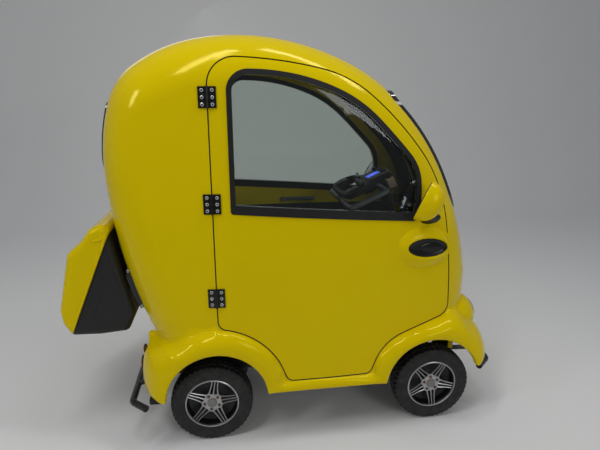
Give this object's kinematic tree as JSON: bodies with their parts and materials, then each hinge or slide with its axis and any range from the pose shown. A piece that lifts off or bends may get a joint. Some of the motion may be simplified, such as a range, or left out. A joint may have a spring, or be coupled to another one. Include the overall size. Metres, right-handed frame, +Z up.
{
  "type": "enclosed mobility scooter",
  "caption": "Egg-shaped enclosed mobility scooter with hinged side doors, tiller steering, seat, rear luggage box, bumpers and turning wheels.",
  "frame": {"origin": "middle of the overall length and width, on the floor the tyres stand on", "axes": "+X forward, +Y to the driver's left, +Z up"},
  "size_m": [1.879, 0.8302, 1.6334],
  "materials": {
    "body_paint": "glossy yellow moulding",
    "black_rubber": "satin black rubber",
    "window_glass": "clear",
    "black_plastic": "grained black",
    "black_steel": "semi-gloss black paint",
    "floor_lining": "matt dark grey",
    "seat_cover": "black synthetic leather",
    "clear_lens": "clear lens",
    "red_lens": "red lens",
    "amber_lens": "amber lens",
    "rim_metal": "silver spoke faces on dark recesses",
    "tyre_rubber": "matt black"
  },
  "bodies": {
    "chassis": {"chassis_frame": "black_steel", "floor_pan": "floor_lining", "arch_liners": "black_plastic", "battery_pack": "black_plastic", "front_axle": "black_steel", "rear_axle": "black_steel", "front_bumper": "black_steel", "rear_bumper": "black_steel", "cab_shell": "body_paint", "skirt_right": "body_paint", "skirt_left": "body_paint", "valances": "body_paint", "fixed_glass": "window_glass", "fixed_seals": "black_rubber", "headlamp_lenses": "clear_lens", "tail_lamps": "red_lens", "indicators": "amber_lens", "body_hinges": "black_steel", "seat_base": "black_steel", "seat_cushion": "seat_cover", "seat_backrest": "seat_cover", "seat_frame": "black_steel", "box_base": "black_plastic"},
    "door_right": {"door_panel_right": "body_paint", "window_seal_right": "black_rubber", "window_glass_right": "window_glass", "door_handle_right": "black_plastic", "door_hinges_right": "black_steel", "door_mirror_right": "body_paint"},
    "door_left": {"door_panel_left": "body_paint", "window_seal_left": "black_rubber", "window_glass_left": "window_glass", "door_handle_left": "black_plastic", "door_hinges_left": "black_steel", "door_mirror_left": "body_paint"},
    "box_lid": {"box_lid": "body_paint"},
    "tiller": {"steering_column": "black_steel", "tiller_head": "black_plastic"},
    "knuckle_right": {"knuckle_right": "black_steel"},
    "knuckle_left": {"knuckle_left": "black_steel"},
    "tie_rod": {"tie_rod": "black_steel"},
    "wheel_front_right": {"rim_front_right": "rim_metal", "tyre_front_right": "tyre_rubber"},
    "wheel_front_left": {"rim_front_left": "rim_metal", "tyre_front_left": "tyre_rubber"},
    "wheel_rear_right": {"rim_rear_right": "rim_metal", "tyre_rear_right": "tyre_rubber"},
    "wheel_rear_left": {"rim_rear_left": "rim_metal", "tyre_rear_left": "tyre_rubber"}
  },
  "joints": [
    {"name": "door_right_hinge", "type": "hinge", "parent": "chassis", "child": "door_right", "pos_m": [-0.30472, -0.3389, 0.6414], "axis": [0, -0.0501, -0.9987], "range_deg": [0, 75]},
    {"name": "door_left_hinge", "type": "hinge", "parent": "chassis", "child": "door_left", "pos_m": [-0.30472, 0.3389, 0.6414], "axis": [0, -0.0501, 0.9987], "range_deg": [0, 75]},
    {"name": "box_lid_hinge", "type": "hinge", "parent": "chassis", "child": "box_lid", "pos_m": [-0.9049, 0, 0.4495], "axis": [0, -1, 0], "range_deg": [0, 60]},
    {"name": "tiller_turn", "type": "hinge", "parent": "chassis", "child": "tiller", "pos_m": [0.6815, 0, 0.236], "axis": [-0.2692, 0, 0.9631], "range_deg": [-35, 35]},
    {"name": "kingpin_left", "type": "hinge", "parent": "chassis", "child": "knuckle_left", "pos_m": [0.612, 0.225, 0.17], "axis": [0, 0, 1], "range_deg": [-30, 30]},
    {"name": "kingpin_right", "type": "hinge", "parent": "chassis", "child": "knuckle_right", "pos_m": [0.612, -0.225, 0.17], "axis": [0, 0, 1], "range_deg": [-30, 30]},
    {"name": "tie_rod_pin", "type": "hinge", "parent": "knuckle_left", "child": "tie_rod", "pos_m": [0.532, 0.225, 0.145], "axis": [0, 0, 1], "range_deg": [-30, 30]},
    {"name": "wheel_front_left_spin", "type": "hinge", "parent": "knuckle_left", "child": "wheel_front_left", "pos_m": [0.612, 0.29, 0.17], "axis": [0, 1, 0], "continuous": true},
    {"name": "wheel_front_right_spin", "type": "hinge", "parent": "knuckle_right", "child": "wheel_front_right", "pos_m": [0.612, -0.29, 0.17], "axis": [0, 1, 0], "continuous": true},
    {"name": "wheel_rear_left_spin", "type": "hinge", "parent": "chassis", "child": "wheel_rear_left", "pos_m": [-0.345, 0.29, 0.17], "axis": [0, 1, 0], "continuous": true},
    {"name": "wheel_rear_right_spin", "type": "hinge", "parent": "chassis", "child": "wheel_rear_right", "pos_m": [-0.345, -0.29, 0.17], "axis": [0, 1, 0], "continuous": true}
  ],
  "couplings": [
    {"joint": "kingpin_left", "follows": "tiller_turn", "ratio": 0.857},
    {"joint": "kingpin_right", "follows": "tiller_turn", "ratio": 0.857},
    {"joint": "tie_rod_pin", "follows": "tiller_turn", "ratio": -0.857}
  ]
}
